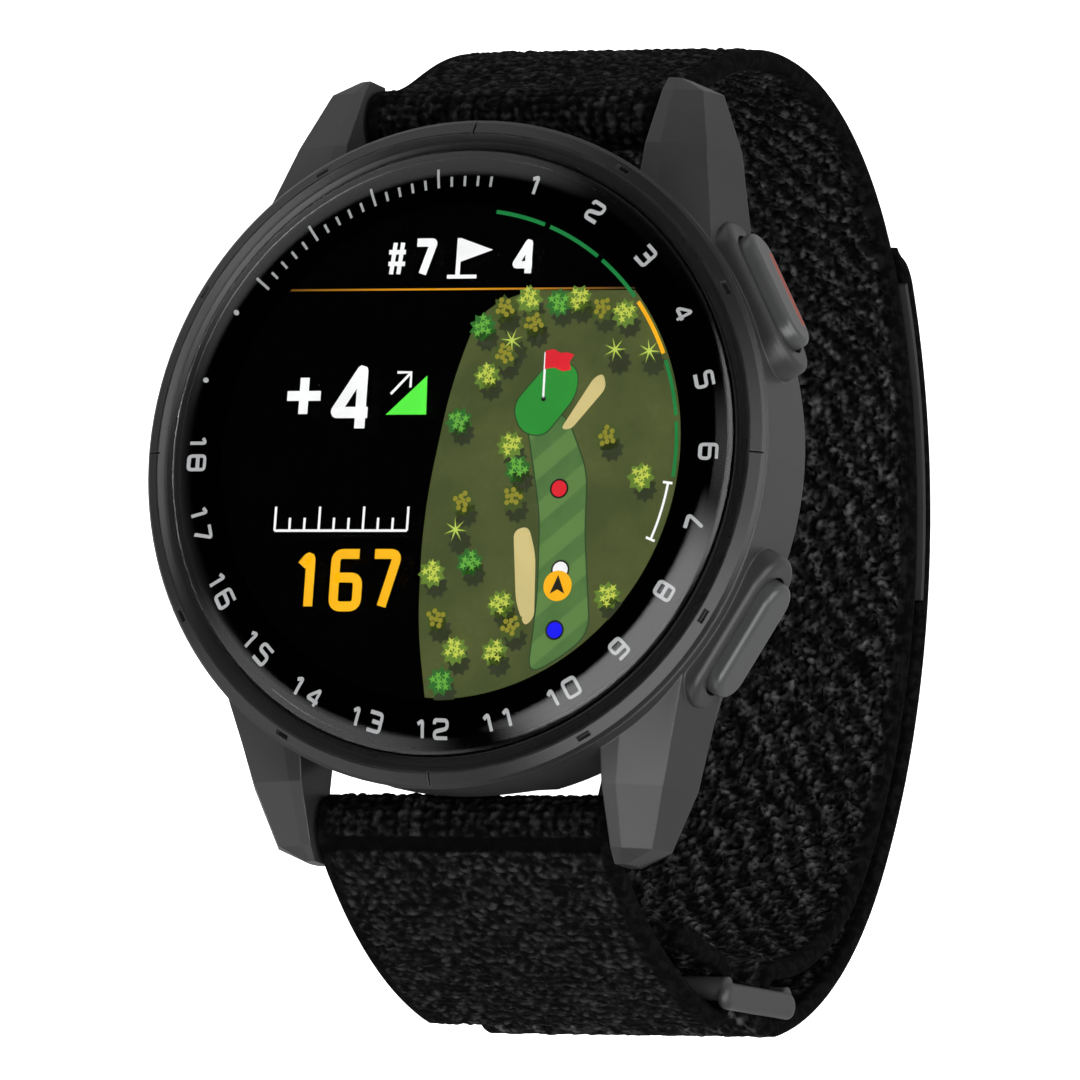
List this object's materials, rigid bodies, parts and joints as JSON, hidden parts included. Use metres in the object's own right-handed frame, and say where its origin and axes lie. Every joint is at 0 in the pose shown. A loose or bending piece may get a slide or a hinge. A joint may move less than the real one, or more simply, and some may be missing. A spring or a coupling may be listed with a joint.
{
  "type": "golf gps watch",
  "caption": "Round golf watch with a faceted slate housing, domed glass, side push buttons and a woven hook-and-loop strap closed through a flat loop.",
  "frame": {"origin": "centre of the flat face of the case back, where it lies on the wrist", "axes": "+Z out of the display, +Y towards 12 o'clock, +X towards 3 o'clock and the buttons"},
  "size_m": [0.0422, 0.0618, 0.0541],
  "materials": {
    "case_polymer": "fine matt moulded fibre-reinforced polymer, dark slate",
    "bezel_metal": "bead-blasted and anodised, dark slate",
    "display_glass": "polished, with a rounded edge",
    "mask_print": "black printed border",
    "adhesive": "black foam adhesive",
    "display_stack": "display with a lit picture",
    "antenna_steel": "stamped sheet",
    "frame_polymer": "moulded, black",
    "board_laminate": "solder mask with copper traces",
    "chip_resin": "moulded resin",
    "ribbon_film": "amber film",
    "battery_foil": "laminated pouch foil",
    "back_polymer": "fine matt moulded polymer, black",
    "seal_rubber": "smooth moulded",
    "fastener_steel": "turned or stamped stainless steel",
    "contact_gold": "gold-plated",
    "sensor_glass": "dark tinted, polished",
    "lamp_resin": "clear resin over small emitters",
    "motor_copper": "wound copper wire",
    "dense_metal": "sintered heavy metal",
    "button_finish": "bead-blasted and anodised, slate",
    "accent_red": "satin red enamel",
    "strap_weave": "black woven nylon with a looped inner face",
    "hook_film": "black hook fastener",
    "loop_polymer": "matt moulded, slate"
  },
  "bodies": {
    "watch_case": {"main_case": "case_polymer", "front_bezel": "bezel_metal", "lens_glass": "display_glass", "lens_mask": "mask_print", "lens_adhesive": "adhesive", "display_panel": "display_stack", "antenna_ring": "antenna_steel", "mid_frame": "frame_polymer", "main_board": "board_laminate", "board_screws": "fastener_steel", "processor": "chip_resin", "memory_chip": "chip_resin", "shield_can": "antenna_steel", "satellite_receiver": "chip_resin", "power_chip": "chip_resin", "display_ribbon": "ribbon_film", "display_connector": "chip_resin", "battery_ribbon": "ribbon_film", "sensor_ribbon": "ribbon_film", "battery": "battery_foil", "back_cover": "back_polymer", "back_seal": "seal_rubber", "back_screws": "fastener_steel", "charge_port": "frame_polymer", "charge_pins": "contact_gold", "sensor_window": "sensor_glass", "sensor_board": "board_laminate", "light_baffle": "frame_polymer", "sensor_lamps": "lamp_resin", "light_detectors": "lamp_resin", "motor_can": "fastener_steel", "motor_core": "motor_copper", "upper_button_switch": "fastener_steel", "lower_button_switch": "fastener_steel"},
    "motor_rotor": {"motor_shaft": "fastener_steel", "motor_weight": "dense_metal"},
    "upper_push": {"upper_button": "button_finish", "upper_button_accent": "accent_red", "upper_button_clip": "fastener_steel", "upper_button_seal": "seal_rubber", "upper_button_spring": "fastener_steel"},
    "lower_push": {"lower_button": "button_finish", "lower_button_clip": "fastener_steel", "lower_button_seal": "seal_rubber", "lower_button_spring": "fastener_steel"},
    "upper_band": {"upper_strap": "strap_weave", "upper_bar_tube": "fastener_steel", "upper_bar_fixed_tip": "fastener_steel", "upper_bar_spring": "fastener_steel"},
    "upper_tip": {"upper_bar_release_tip": "fastener_steel"},
    "lower_band": {"lower_strap": "strap_weave", "lower_bar_tube": "fastener_steel", "lower_bar_fixed_tip": "fastener_steel", "lower_bar_spring": "fastener_steel"},
    "lower_tip": {"lower_bar_release_tip": "fastener_steel"},
    "buckle": {"strap_loop": "loop_polymer"},
    "tail": {"strap_tail": "strap_weave", "hook_patch": "hook_film"}
  },
  "joints": [
    {"name": "upper_button_press", "type": "slide", "parent": "watch_case", "child": "upper_push", "axis": [-0.8704, -0.4924, 0], "range_m": [0, 0.0006], "stiffness_N_per_m": 1500, "springref_m": -0.0004, "deforming": ["upper_button_spring"]},
    {"name": "lower_button_press", "type": "slide", "parent": "watch_case", "child": "lower_push", "axis": [-0.866, 0.5, 0], "range_m": [0, 0.0006], "stiffness_N_per_m": 1500, "springref_m": -0.0004, "deforming": ["lower_button_spring"]},
    {"name": "vibration_spin", "type": "hinge", "parent": "watch_case", "child": "motor_rotor", "pos_m": [-0.0142, 0, 0.0049], "axis": [0, 1, 0], "continuous": true},
    {"name": "lower_strap_swing", "type": "hinge", "parent": "watch_case", "child": "lower_band", "pos_m": [0, -0.0222, 0.0032], "axis": [1, 0, 0], "range_deg": [-6, 6]},
    {"name": "upper_strap_swing", "type": "hinge", "parent": "watch_case", "child": "upper_band", "pos_m": [0, 0.0222, 0.0032], "axis": [1, 0, 0], "range_deg": [-1, 1]},
    {"name": "loop_swing", "type": "hinge", "parent": "lower_band", "child": "buckle", "pos_m": [0, -0.02981, -0.01331], "axis": [1, 0, 0], "range_deg": [-14, 14]},
    {"name": "tail_peel", "type": "hinge", "parent": "upper_band", "child": "tail", "pos_m": [0, -0.03139, -0.02337], "axis": [-1, 0, 0], "range_deg": [0, 100]},
    {"name": "upper_bar_release", "type": "slide", "parent": "upper_band", "child": "upper_tip", "axis": [-1, 0, 0], "range_m": [0, 0.00125], "stiffness_N_per_m": 600, "springref_m": -0.0008, "deforming": ["upper_bar_spring"]},
    {"name": "lower_bar_release", "type": "slide", "parent": "lower_band", "child": "lower_tip", "axis": [-1, 0, 0], "range_m": [0, 0.00125], "stiffness_N_per_m": 600, "springref_m": -0.0008, "deforming": ["lower_bar_spring"]}
  ],
  "couplings": [
    {"joint": "upper_strap_swing", "follows": "lower_strap_swing", "ratio": 0.16559},
    {"joint": "loop_swing", "follows": "lower_strap_swing", "ratio": -2.3274}
  ]
}
